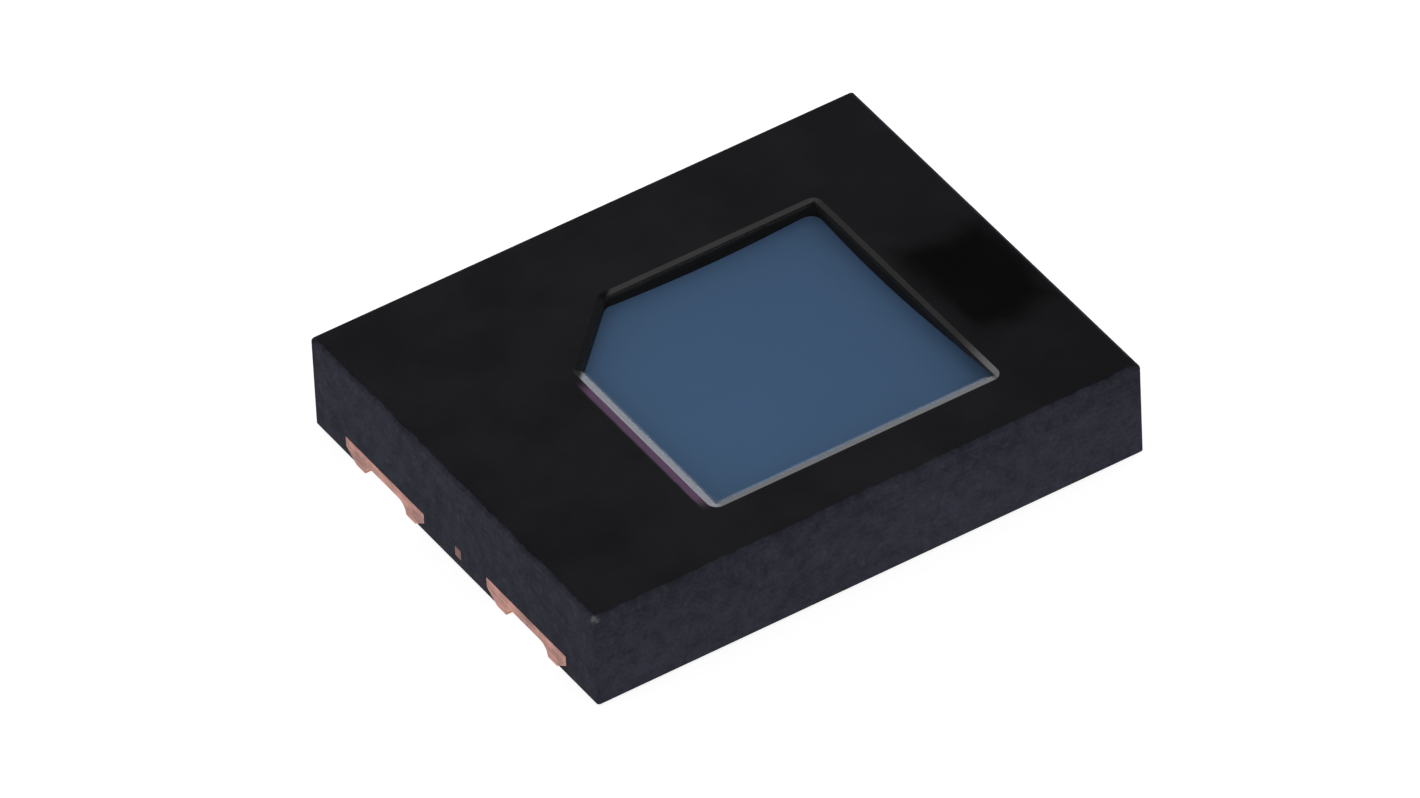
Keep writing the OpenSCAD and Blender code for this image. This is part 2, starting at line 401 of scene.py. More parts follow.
class Growth(Nodes):
    """A tree of geometry nodes whose named inputs are set on the object that carries it."""

    kinds = {int: "NodeSocketInt", float: "NodeSocketFloat", tuple: "NodeSocketVector"}

    def __init__(self, name, **sizes):
        super().__init__(bpy.data.node_groups.new(name, "GeometryNodeTree"))
        self.sizes = sizes
        face = self.tree.interface
        face.new_socket("Geometry", in_out="INPUT", socket_type="NodeSocketGeometry")
        for size, value in sizes.items():
            face.new_socket(size, in_out="INPUT", socket_type=self.kinds[type(value)])
        face.new_socket("Geometry", in_out="OUTPUT", socket_type="NodeSocketGeometry")
        self.entry = self.tree.nodes.new("NodeGroupInput")

    def given(self, name):
        """One of the tree's inputs."""
        return Value(self, self.entry.outputs[name])

    def grow(self, geometry, obj, finish):
        """Ends the tree with a plain mesh of one finish, and lets it grow on an object."""
        plain = self.node("GeometryNodeRealizeInstances", None, {"Geometry": geometry})
        done = self.node("GeometryNodeSetMaterial", None, {"Geometry": plain, "Material": finish})
        self.give(self.tree.nodes.new("NodeGroupOutput").inputs["Geometry"], done)
        step = obj.modifiers.new(self.tree.name, "NODES")
        step.node_group = self.tree
        for item in self.tree.interface.items_tree:
            if item.in_out == "INPUT" and item.name in self.sizes:
                step[item.identifier] = self.sizes[item.name]
        return settle(obj)


def shaded(tint, part):
    """A colour made darker or lighter."""
    return [part * c for c in tint]


def quarter_turn(steps):
    """Angles from nothing to a right angle."""
    return [k * math.pi / 2 / steps for k in range(steps + 1)]


def rounded_rectangle(half_x, half_y, radius, steps):
    """Points of a rectangle with round corners, counter-clockwise."""
    x, y = half_x - radius, half_y - radius
    corners = [Vector(corner) for corner in ((-x, -y), (x, -y), (x, y), (-x, y))]
    return grown_outline(corners, radius, steps)


def grown_outline(points, radius, steps):
    """A convex counter-clockwise outline moved outwards, with arcs round its corners."""
    grown = []
    for i, point in enumerate(points):
        before = point - points[i - 1]
        after = points[(i + 1) % len(points)] - point
        start = math.atan2(before.y, before.x) - math.pi / 2
        turn = (math.atan2(after.y, after.x) - math.atan2(before.y, before.x)) % math.tau
        for k in range(steps + 1):
            a = start + turn * k / steps
            grown.append(point + radius * Vector((math.cos(a), math.sin(a))))
    return grown


def window_corners(inset, cut):
    """The window's outline moved inwards: a rectangle with one corner cut at 45 degrees."""
    low, high = WINDOW_LOW, WINDOW_HIGH
    leg = cut - (2 - math.sqrt(2)) * inset
    return [
        Vector((low.x + inset, low.y + inset)),
        Vector((high.x - inset, low.y + inset)),
        Vector((high.x - inset, high.y - inset)),
        Vector((low.x + inset + leg, high.y - inset)),
        Vector((low.x + inset, high.y - inset - leg)),
    ]


def swollen(outline, side, swell):
    """A window outline with more points in one of its sides, which swells inwards."""
    index = (side + 1) * (WINDOW_STEPS + 1)
    start, end = outline[index - 1], outline[index]
    inwards = Vector((start.y - end.y, end.x - start.x)).normalized()
    parts = [k / (SWELL_STEPS + 1) for k in range(1, SWELL_STEPS + 1)]
    outline[index:index] = [
        start.lerp(end, part) + inwards * swell * math.sin(math.pi * part) for part in parts
    ]
    return outline


def window_outline(corners, radius, back_swell=0.0, cathode_swell=0.0):
    """The window's outline round its inner corners, with points for the swelling of two sides."""
    outline = grown_outline(corners, radius, WINDOW_STEPS)
    swollen(outline, BACK_SIDE, back_swell)
    return swollen(outline, CATHODE_SIDE, cathode_swell)


def window_foot(look, out=0.0):
    """The window's outline on the die, where the back and cathode walls are not quite upright."""
    fillet = look.foot_radius / MM
    corners = window_corners(fillet, look.corner_cut / MM)
    corners[CATHODE_SIDE].x += look.foot_lean / MM
    return window_outline(corners, fillet + out, look.back_swell / MM, look.cathode_swell / MM)


def ring(bm, points, z):
    """A closed row of vertices at one level."""
    return [bm.verts.new((p.x, p.y, z)) for p in points]


def walls(bm, rings):
    """Rows of faces from each ring to the next."""
    for low, high in zip(rings, rings[1:]):
        for i in range(len(low)):
            j = (i + 1) % len(low)
            bm.faces.new((low[i], low[j], high[j], high[i]))


def mesh_object(name, bm):
    """A new object from a bmesh, linked to the scene."""
    bmesh.ops.recalc_face_normals(bm, faces=bm.faces[:])
    mesh = bpy.data.meshes.new(name)
    bm.to_mesh(mesh)
    bm.free()
    obj = bpy.data.objects.new(name, mesh)
    bpy.context.scene.collection.objects.link(obj)
    return obj


def box_object(name, low, high):
    """A plain block between two corners."""
    bm = bmesh.new()
    bmesh.ops.create_cube(bm, size=1.0)
    bm.transform(Matrix.LocRotScale((low + high) / 2, None, high - low))
    return mesh_object(name, bm)


def settle(obj):
    """The object's modifiers become its mesh."""
    bpy.context.view_layer.update()
    graph = bpy.context.evaluated_depsgraph_get()
    mesh = bpy.data.meshes.new_from_object(obj.evaluated_get(graph))
    obj.modifiers.clear()
    old = obj.data
    obj.data = mesh
    bpy.data.meshes.remove(old)
    return obj


def combine(obj, tools, operation):
    """Cuts the tools from an object, or joins them to it, and removes them."""
    for tool in tools:
        step = obj.modifiers.new(tool.name, "BOOLEAN")
        step.operation = operation
        step.solver = "EXACT"
        step.object = tool
    clean(settle(obj))
    for tool in tools:
        mesh = tool.data
        bpy.data.objects.remove(tool)
        bpy.data.meshes.remove(mesh)
    return obj


def clean(obj):
    """Welds the doubled points that a cut leaves, and drops empty faces and the seams in flat ones."""
    bm = bmesh.new()
    bm.from_mesh(obj.data)
    bmesh.ops.remove_doubles(bm, verts=bm.verts[:], dist=WELD)
    bmesh.ops.dissolve_degenerate(bm, edges=bm.edges[:], dist=WELD)
    bmesh.ops.dissolve_limit(bm, angle_limit=FLAT, verts=bm.verts[:], edges=bm.edges[:])
    bm.to_mesh(obj.data)
    bm.free()
    return obj


def soften(obj, radius, segments=2):
    """Rounds an object's sharp edges."""
    step = obj.modifiers.new("soft edges", "BEVEL")
    step.width = radius
    step.segments = segments
    step.limit_method = "ANGLE"
    step.angle_limit = SHARP
    return settle(obj)


def smooth(obj, crease=40.0):
    """Smooth shading, with flat faces kept flat and edges past the crease, in degrees, kept sharp."""
    mesh = obj.data
    mesh.polygons.foreach_set("use_smooth", [True] * len(mesh.polygons))
    mesh.set_sharp_from_angle(angle=math.radians(crease))
    step = obj.modifiers.new("flat faces", "WEIGHTED_NORMAL")
    step.keep_sharp = True
    step.weight = 100
    return settle(obj)


def hand_over(obj, finish, slot, *nodes):
    """The finished piece in metres, with its material, on its body, in place of its solids."""
    obj.data.transform(Matrix.Scale(MM, 4))
    obj.data.materials.clear()
    obj.data.materials.append(finish)
    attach(obj, BODY)
    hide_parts(*nodes)
    return obj


def dress(node, finish):
    """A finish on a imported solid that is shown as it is."""
    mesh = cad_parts[node].data
    mesh.materials.clear()
    mesh.materials.append(finish)


def ball_place(wire):
    """Where the ball bond sits on the die."""
    inset = wire.ball_inset / MM
    return Vector((DIE_LOW.x + inset, DIE_HIGH.y - inset, DIE_HIGH.z))


def curve_point(points, t):
    """A point of the curve that a list of control points gives."""
    while len(points) > 1:
        points = [a.lerp(b, t) for a, b in zip(points, points[1:])]
    return points[0]


def solid_copy(node):
    """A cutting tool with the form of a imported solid, in millimetres."""
    bm = bmesh.new()
    bm.from_mesh(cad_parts[node].data)
    bm.transform(Matrix.Scale(1 / MM, 4))
    bmesh.ops.remove_doubles(bm, verts=bm.verts[:], dist=WELD)
    return mesh_object(node + "_tool", bm)


class Terminal:
    """The sizes of one terminal at the anode end, in millimetres, drawn inwards from x = 0."""

    arch_steps = 8
    corner_steps = 4

    def __init__(self, copper):
        size = ANODE_HIGH - ANODE_LOW
        self.reach = size.x
        self.half = size.y / 2
        self.top = size.z
        self.etch = copper.etch / MM
        self.slope = copper.slope / MM
        self.solder_reach = self.reach - self.slope - copper.lip / MM
        self.solder_half = self.half - self.slope
        self.dimple_half = copper.dimple_width / MM / 2
        self.dimple_depth = copper.dimple_depth / MM
        self.dimple_corner = copper.dimple_corner / MM

    def blank(self, name, run=0.0):
        """Solder face, slopes and lip, without the dimple. It may run out past the end face."""
        bm = bmesh.new()

        def level(inner, half, z):
            outline = ((-run, -half), (inner, -half), (inner, half), (-run, half))
            return [bm.verts.new((x, y, z)) for x, y in outline]

        sole = level(self.solder_reach, self.solder_half, 0.0)
        foot = level(self.solder_reach + self.slope, self.half, self.etch)
        lip = [bm.verts.new((self.reach, y, self.etch)) for y in (-self.half, self.half)]
        top = level(self.reach, self.half, self.top)
        faces = (
            sole[::-1],
            (sole[0], sole[1], foot[1], foot[0]),
            (sole[1], sole[2], foot[2], foot[1]),
            (sole[2], sole[3], foot[3], foot[2]),
            (foot[1], foot[2], lip[1], lip[0]),
            (foot[0], foot[1], lip[0], top[1], top[0]),
            (lip[0], lip[1], top[2], top[1]),
            (lip[1], foot[2], foot[3], top[3], top[2]),
            (sole[3], sole[0], foot[0], top[0], top[3], foot[3]),
            top,
        )
        for face in faces:
            bm.faces.new(face)
        return mesh_object(name, bm)

    def dimple(self, name):
        """The etched arch: a pocket as deep as the etch, with round shoulders of the same radius."""
        arc = quarter_turn(self.arch_steps)
        overrun = self.etch
        levels = [(0.0, -overrun)]
        levels += [(self.etch * (1 - math.cos(a)), self.etch * math.sin(a)) for a in arc]
        bm = bmesh.new()
        rings = []
        for inset, z in levels:
            half_x, half_y = self.dimple_depth - inset, self.dimple_half - inset
            outline = rounded_rectangle(half_x, half_y, self.dimple_corner, self.corner_steps)
            rings.append(ring(bm, outline, z))
        walls(bm, rings)
        bm.faces.new(rings[0][::-1])
        bm.faces.new(rings[-1])
        return mesh_object(name, bm)

    def etched(self, name):
        """The whole terminal."""
        return combine(self.blank(name), [self.dimple("dimple_tool")], "DIFFERENCE")


def turned_to(obj, x, y, mirrored=False):
    """Moves a terminal drawn from x = 0 to its end of the package."""
    turn = Matrix.Rotation(math.pi, 4, "Z") if mirrored else Matrix.Identity(4)
    obj.data.transform(Matrix.Translation((x, y, 0.0)) @ turn)
    return obj


def terminal_places():
    """End face and centre line of the four terminals, with the cathode end turned round."""
    rows = [(ANODE_LOW + ANODE_HIGH).y / 2, (SPARE_LOW + SPARE_HIGH).y / 2]
    return [(MOULD_LOW.x, y, False) for y in rows] + [(MOULD_HIGH.x, y, True) for y in rows]


def frame_web(copper, terminal, run):
    """Blocks of the half-etched copper: die pad, arms to the cathode end and tie bar."""
    rim = ATTACH_LOW - FRAME_LOW
    pad_low = Vector((ATTACH_LOW.x - rim.y, FRAME_LOW.y, terminal.etch))
    pad_high = Vector((ATTACH_HIGH.x + rim.y, ATTACH_HIGH.y + rim.y, terminal.top))
    tie = copper.tie_place / MM
    half_tie = copper.tie_width / MM / 2
    blocks = [box_object("die_pad", pad_low, pad_high)]
    overlap = terminal.etch
    for _, y, turned in terminal_places():
        if turned:
            blocks.append(
                box_object(
                    "arm",
                    Vector((pad_high.x - overlap, y - terminal.half, terminal.etch)),
                    Vector((MOULD_HIGH.x - terminal.reach + overlap, y + terminal.half, terminal.top)),
                )
            )
    blocks.append(
        box_object(
            "tie_bar",
            Vector((MOULD_LOW.x - run, tie - half_tie, terminal.etch)),
            Vector((pad_low.x + overlap, tie + half_tie, terminal.top)),
        )
    )
    return blocks


def black_compound(look):
    """Moulding compound: satin moulded skin on top, sawn sides that show the filler grains."""
    f = Finish("black_moulding_compound", Specular_IOR_Level=0.04, Coat_Roughness=0.1)
    place, x, y, z = f.millimetres()
    half_x, half_y, top = MOULD_HIGH
    edge = look.top_edge / MM
    clouds = f.noise(place, scale=1.3, detail=4.0, roughness=0.55)
    mottle = f.noise(place, scale=7.5, detail=2.0)
    fine = f.noise(place, scale=30.0, roughness=0.6)
    streaks = f.noise(f.stretched(place, (1.2, 1.2, 26.0)), scale=3.0, roughness=0.6)

    # The saw's face begins unevenly, part of the way round the top edge
    outside = f.larger(abs(x) - half_x, abs(y) - half_y)
    worn = outside + (mottle - 0.5) * 0.6 * edge
    sawn = f.larger(f.step(worn, -0.95 * edge, -0.45 * edge), f.step(outside, -0.3 * edge, -0.1 * edge))

    # The skin is cloudy and darker towards the cathode end, with a painted dark reflection, painted shade and
    # a painted highlight
    shade = f.step(clouds, 0.3, 0.7) - 0.5 * f.step(x, 0.8, 2.4)
    skin = f.mix(shade, shaded(look.top_colour, 0.6), shaded(look.top_colour, 1.4))
    # Painted dark reflection: the top face darkened by the cathode end
    smear_and_dark_reflection = painted_dark_reflection(f, look, place, x, y) * f.step(z, 0.5 * top, 0.6 * top)
    skin = f.mix(smear_and_dark_reflection, skin, shaded(look.top_colour, 0.3))
    wet, bare, rim_highlight = wet_rim(f, look, x, y, z)
    # Painted shade: the slope beside the cut corner darkened
    skin = f.mix(bare, skin, shaded(look.top_colour, 0.2))
    # Painted highlight: the cathode side's slope near the window's front corner lightened
    skin = f.mix(rim_highlight, skin, look.rim_highlight_colour)

    # The sawn face is uneven and darker along the top of the long sides, with a painted highlight on its
    # front top corner at the anode end
    uneven = mottle * 0.35 + fine * 0.3 + streaks * 0.15 + clouds * 0.2
    darker_tone = 0.2 * f.step(abs(y), half_y - 2 * edge, half_y - edge) * f.step(z, 0.5 * top, 0.9 * top)
    dark, light = shaded(look.sawn_colour, 0.65), shaded(look.sawn_colour, 1.35)
    cut_face = f.mix(f.step(uneven, 0.3, 0.7) - darker_tone, dark, light)
    grains = f.grains(place, scale=12.0, core=0.05, rare=0.7)
    specks = f.grains(place, scale=30.0, core=0.1, rare=0.75)
    cut_face = f.mix(grains * 0.2 + specks * 0.1, cut_face, look.grain_colour)
    # Painted highlight on the front top corner at the anode end, with a ragged edge
    corner = f.larger(x + half_x, f.larger(y + half_y, top - z)) + (fine - 0.5) * 2.2 * edge
    cut_face = f.mix(1 - f.step(corner, 0.3 * edge, 1.5 * edge), cut_face, look.corner_highlight_colour)

    film, film_edge = bleed(f, look, place, x, y, z)
    base = f.mix(film_edge, f.mix(sawn, skin, cut_face), look.bleed_edge)
    f.feed(Base_Color=f.mix(film, base, look.bleed_colour))
    f.feed(Roughness=0.4 + 0.1 * clouds + sawn * 0.45 - film * 0.2 - smear_and_dark_reflection * 0.22 * (1 - sawn))
    f.feed(Coat_Weight=wet)
    relief = fine * 0.3 + (grains * 0.5 + mottle * 1.5 + streaks * 0.3) * sawn
    f.feed(Normal=f.bump(relief, 0.25, 0.01 * MM))
    return f.material


def painted_dark_reflection(f, look, place, x, y):
    """Painted dark reflection on the top face by the cathode end, with a faint halo of it beside the window.
    """
    along = (x - look.dark_reflection_x / MM) / (look.dark_reflection_half_x / MM)
    across = (y - look.dark_reflection_y / MM) / (look.dark_reflection_half_y / MM)
    ragged = f.larger(abs(along), abs(across)) + (f.noise(place, scale=1.6) - 0.5) * 0.8
    halo = (1 - f.step(y, 0.0, 1.0)) * f.step(x, 1.3, 1.7)
    return 0.7 * (1 - f.step(ragged, 0.6, 1.2)) + 0.3 * halo


def wet_rim(f, look, x, y, z):
    """Masks of the slope round the window: wetted by resin, painted shade beside the cut corner, painted
    highlight near the front corner.
    """
    low, high, top = WINDOW_LOW, WINDOW_HIGH, MOULD_HIGH.z
    width, depth = look.rim_width / MM, look.rim_depth / MM
    soft = 0.06 * width
    near, far = f.larger(low.x - x, low.y - y), f.larger(x - high.x, y - high.y)
    slope = f.band(z, top - 1.15 * depth, top - 0.05 * depth, 0.03 * depth)
    slope = slope * (1 - f.step(f.larger(near, far), 2 * width, 3 * width))
    cut = low.x - high.y + look.corner_cut / MM
    uncut = f.step(x - y, cut, cut + width)
    wet = f.larger(f.step(near, -soft, soft), f.step(far, 0.05 * width, 0.3 * width)) * slope * uncut
    # Painted shade: the slope beside the cut corner, bare of resin, is darkened
    beside = (1 - uncut) * f.step(x - y, cut - 3 * width, cut - 2 * width)
    bare = beside * f.band(z, 0.5 * top, top - 2 * SKIM, SKIM)
    # Painted highlight: fades out back from the front corner, only on the cathode side's slope
    rim_highlight = 1 - f.step(y, low.y, low.y + look.rim_highlight_reach / MM)
    return wet, bare, rim_highlight * rim_highlight * f.step(far, 0.0, 0.3 * width) * slope


def bleed(f, look, place, x, y, z):
    """The resin film beside the window's anode wall, and the dark line along its outer edge."""
    soft, line_width, overlap, waviness = 0.012, 0.025, 0.02, 0.014
    front_gap, back_gap, fade = 0.06, 0.19, 0.1
    window, top = WINDOW_LOW, MOULD_HIGH.z
    corner = WINDOW_HIGH.y - look.corner_cut / MM
    near = window.x - look.rim_width / MM
    far = near - look.bleed_width / MM
    wave = x + waviness * (f.noise(place, scale=7.0, detail=2.0) - 0.5)
    there = f.band(y, window.y + front_gap, corner - back_gap, fade) * f.step(z, top - 4 * SKIM, top - SKIM)
    film = f.band(wave, far, near + overlap, soft) * there
    line = f.band(wave, far - line_width, far, soft) * there
    return film * 0.92, line * 0.8


def clear_resin(look, level):
    """Water-clear casting resin with a barely uneven surface, duller where it climbs the walls."""
    f = Finish("clear_window_resin", Transmission_Weight=1.0, IOR=look.refraction)
    place, _, _, z = f.millimetres()
    waves = f.noise(place, scale=1.6, detail=2.0, roughness=0.4)
    climb = f.step(z, level, level + SKIM)
    f.feed(Base_Color=(*look.tint, 1.0))
    f.feed(Roughness=0.008 + 0.012 * waves + 0.1 * climb)
    f.feed(Normal=f.bump(waves, 0.01, 0.01 * MM))
    return f.material


def coated_silicon(look, wire):
    """Silicon under a blue anti-reflection coating, with bare sawn sides and a bond pad."""
    f = Finish("coated_silicon", Specular_IOR_Level=0.1)
    place, x, y, _ = f.millimetres()
    _, _, up = f.facing()
    low, high = DIE_LOW, DIE_HIGH
    # Painted shade: the coating turns into its darker copy towards the cathode end and the back
    lean_x, lean_y = 0.7, 0.3
    start, end = lean_x * low.x + lean_y * low.y, lean_x * high.x + lean_y * high.y
    along = f.step(x * lean_x + y * lean_y, start, end)
    clouds = f.noise(place, scale=0.9)
    coating = f.mix(along * 0.8 + clouds * 0.2, look.coating, look.shaded_coating)
    ball = ball_place(wire)
    half, pad_edge = look.pad_size / MM / 2, 0.004
    beside = f.larger(abs(x - ball.x), abs(y - ball.y))
    coating = f.mix(f.step(beside, half + pad_edge, half), coating, look.pad)
    marks = f.noise(f.stretched(place, (1.0, 1.0, 40.0)), scale=4.0, detail=2.0)
    bare = f.mix(marks, shaded(look.bare, 0.7), look.bare)
    f.feed(Base_Color=f.mix(f.step(up, 0.4, 0.6), bare, coating))
    f.feed(Roughness=look.roughness - 0.04 + 0.08 * clouds)
    return f.material


def etched_copper(look):
    """Copper: sawn and smeared at the ends, etched inside, tin on the solder faces and dimples."""
    f = Finish("etched_copper", Metallic=1.0)
    place, x, y, _ = f.millimetres()
    _, _, up = f.facing()
    end, burr, tie_edge = MOULD_HIGH.x, 0.012, 0.01
    sawn = f.step(abs(x), end - burr, end - burr / 4)
    under = f.step(up * -1.0, 0.25, 0.6) * (1 - sawn)
    smear_and_dark_reflection = f.noise(f.stretched(place, (4.0, 1.5, 22.0)), scale=2.2, detail=4.0, roughness=0.6)
    blotches = f.noise(place, scale=7.0, detail=4.0, roughness=0.6)
    fine = f.noise(place, scale=55.0, roughness=0.6)
    darker_tone, bright = shaded(look.sawn_colour, 0.62), shaded(look.sawn_colour, 1.28)
    bare = f.mix(f.step(smear_and_dark_reflection * 0.5 + blotches * 0.5, 0.36, 0.62), darker_tone, bright)
    beside_tie = abs(y - look.tie_place / MM) - look.tie_width / MM
    bare = f.mix(f.step(beside_tie, 0.0, -tie_edge), bare, shaded(look.sawn_colour, 0.45))
    inner = f.mix(blotches, shaded(look.etched_colour, 0.75), look.etched_colour)
    tin = f.mix(blotches * 0.6 + fine * 0.4, shaded(look.tin_colour, 0.75), look.tin_colour)
    f.feed(Base_Color=f.mix(under, f.mix(sawn, inner, bare), tin))
    f.feed(Roughness=0.42 + 0.16 * blotches + under * 0.08)
    f.feed(Normal=f.bump(smear_and_dark_reflection * sawn + fine * 0.6, 0.25, 0.01 * MM))
    return f.material


def silver_adhesive(look):
    """Cured adhesive full of silver flakes."""
    f = Finish("silver_adhesive", Metallic=0.55)
    place, _, _, _ = f.millimetres()
    flakes = f.node("ShaderNodeTexVoronoi", {"feature": "F1"}, {"Vector": place, "Scale": 40.0})
    f.feed(Base_Color=f.mix(flakes, look.paste, look.flake))
    f.feed(Roughness=0.45 + 0.25 * flakes)
    f.feed(Normal=f.bump(flakes, 0.3, 0.006 * MM))
    return f.material


def drawn_gold(look):
    """Gold wire with faint marks of drawing."""
    f = Finish("drawn_gold", Metallic=1.0)
    place, _, _, _ = f.millimetres()
    marks = f.noise(f.stretched(place, (3.0, 40.0, 40.0)), scale=2.0, detail=2.0)
    f.feed(Base_Color=f.mix(marks, look.dull_gold, look.bright_gold))
    f.feed(Roughness=0.2 + 0.12 * marks)
    return f.material


class PieceOperator:
    """What the operators share: the settings in the scene."""

    bl_options = {"REGISTER", "UNDO"}

    def look(self, context):
        return context.scene.photodiode


class PHOTODIODE_OT_mould(PieceOperator, bpy.types.Operator):
    """Black moulding with its window, cut out round the copper, the die and the wire"""

    bl_idname = "photodiode.mould"
    bl_label = "Black moulding"

    arc_steps = 10
    crease = 11.0

    def execute(self, context):
        look = self.look(context)
        obj = self.shell(look.mould)
        terminal = Terminal(look.copper)
        run = terminal.etch
        tools = [solid_copy(node) for node in ("photodiode_chip", "die_attach", "bond_wire")]
        tools += frame_web(look.copper, terminal, run)
        for x, y, turned in terminal_places():
            tools.append(turned_to(terminal.blank("terminal_tool", run), x, y, turned))
        combine(obj, tools, "DIFFERENCE")
        smooth(obj, self.crease)
        hand_over(obj, black_compound(look.mould), "black_epoxy", "mould_body")
        return {"FINISHED"}

    def shell(self, look):
        """The outside and the window, as one closed skin in millimetres."""
        low, high = MOULD_LOW, MOULD_HIGH
        edge, base = look.top_edge / MM, look.base_edge / MM
        side = look.side_edge / MM
        arc = quarter_turn(self.arc_steps)
        levels = [(base * (1 - math.sin(a)), low.z + base * (1 - math.cos(a))) for a in arc]
        levels += [(edge * (1 - math.cos(a)), high.z - edge * (1 - math.sin(a))) for a in arc]
        bm = bmesh.new()
        outlines = [
            rounded_rectangle(high.x - inset, high.y - inset, side, self.arc_steps) for inset, _ in levels
        ]
        rings = [ring(bm, outline, z) for outline, (_, z) in zip(outlines, levels)]
        walls(bm, rings)
        bm.faces.new(rings[0][::-1])

        corner = look.corner_radius / MM
        corners = window_corners(corner, look.corner_cut / MM)
        mouth = [(look.rim_width / MM, high.z), (0.0, high.z - look.rim_depth / MM)]
        die_top = DIE_HIGH.z
        outlines_in = [window_outline(corners, corner + out) for out, _ in mouth]
        rings_in = [ring(bm, outline, z) for outline, (_, z) in zip(outlines_in, mouth)]
        foot = window_foot(look)
        rings_in += [ring(bm, foot, z) for z in (die_top, die_top - corner)]
        walls(bm, rings_in)
        bm.faces.new(rings_in[-1])

        flat = [[p.to_3d() for p in outlines[-1]], [p.to_3d() for p in outlines_in[0]]]
        verts = rings[-1] + rings_in[0]
        for triangle in tessellate_polygon(flat):
            bm.faces.new([verts[i] for i in triangle])
        return mesh_object("moulding", bm)


class PHOTODIODE_OT_resin(PieceOperator, bpy.types.Operator):
    """Clear window filling with its meniscus"""

    bl_idname = "photodiode.resin"
    bl_label = "Window resin"

    climb_steps = 12

    def execute(self, context):
        look = self.look(context)
        width, radius = look.resin.climb_width / MM, look.resin.climb_radius / MM
        bond = look.resin.bond / MM
        level = MOULD_HIGH.z - (look.mould.rim_depth + look.resin.sag) / MM
        floor = DIE_HIGH.z - bond
        bm = bmesh.new()
        rings = [ring(bm, window_foot(look.mould, bond), floor)]
        for k in range(self.climb_steps + 1):
            inset = (width + bond) * k / self.climb_steps - bond
            rise = radius - math.sqrt(radius ** 2 - (width - inset) ** 2)
            rings.append(ring(bm, self.outline(look.mould, inset), level + rise))
        walls(bm, rings)
        bm.faces.new(rings[0][::-1])
        bm.faces.new(rings[-1])
        obj = smooth(mesh_object("window_resin", bm))
        hand_over(obj, clear_resin(look.resin, level), "clear_resin", "window_fill")
        return {"FINISHED"}

    def outline(self, look, inset):
        """The window's outline moved inwards, with corners that get rounder as they go in."""
        fillet = look.corner_radius / MM + inset
        return window_outline(window_corners(inset + fillet, look.corner_cut / MM), fillet)


class PHOTODIODE_OT_die(PieceOperator, bpy.types.Operator):
    """Coating of the silicon die"""

    bl_idname = "photodiode.die"
    bl_label = "Silicon die"

    def execute(self, context):
        look = self.look(context)
        dress("photodiode_chip", coated_silicon(look.die, look.wire))
        return {"FINISHED"}


class PHOTODIODE_OT_copper(PieceOperator, bpy.types.Operator):
    """Etched terminals and die pad"""

    bl_idname = "photodiode.copper"
    bl_label = "Copper leadframe"

    def execute(self, context):
        look = self.look(context).copper
        finish = etched_copper(look)
        terminal = Terminal(look)
        places = terminal_places()
        edge = look.edge / MM
        for node, (x, y, turned) in zip(("anode_terminal", "spare_terminal"), places):
            obj = turned_to(terminal.etched(node + "_copper"), x, y, turned)
            smooth(soften(obj, edge))
            hand_over(obj, finish, "etched_copper", node)
        pad, *arms = frame_web(look, terminal, 0.0)
        x, _, turned = places[-1]
        pitch = places[0][1] - places[1][1]
        ends = self.row(terminal.etched("cathode_ends"), len(places) // 2, pitch, finish)
        turned_to(ends, x, 0.0, turned)
        pad.name = "cathode_copper"
        combine(pad, [*arms, ends], "UNION")
        smooth(soften(pad, edge))
        hand_over(pad, finish, "etched_copper", "cathode_frame")
        return {"FINISHED"}

    def row(self, obj, count, pitch, finish):
        """A terminal repeated across the end of the package, about the centre line."""
        g = Growth("terminal row", Count=count, Pitch=pitch)
        step = g.node("ShaderNodeCombineXYZ", None, {"Y": g.given("Pitch")})
        first = (g.given("Count") - 1) * g.given("Pitch") * -0.5
        start = g.node("ShaderNodeCombineXYZ", None, {"Y": first})
        line = g.node(
            "GeometryNodeMeshLine",
            {"mode": "OFFSET"},
            {"Count": g.given("Count"), "Start Location": start, "Offset": step},
        )
        ends = g.node("GeometryNodeInstanceOnPoints", None, {"Points": line, "Instance": g.given("Geometry")})
        return g.grow(ends, obj, finish)


class PHOTODIODE_OT_adhesive(PieceOperator, bpy.types.Operator):
    """Finish of the adhesive under the die"""

    bl_idname = "photodiode.adhesive"
    bl_label = "Die adhesive"

    def execute(self, context):
        dress("die_attach", silver_adhesive(self.look(context).adhesive))
        return {"FINISHED"}


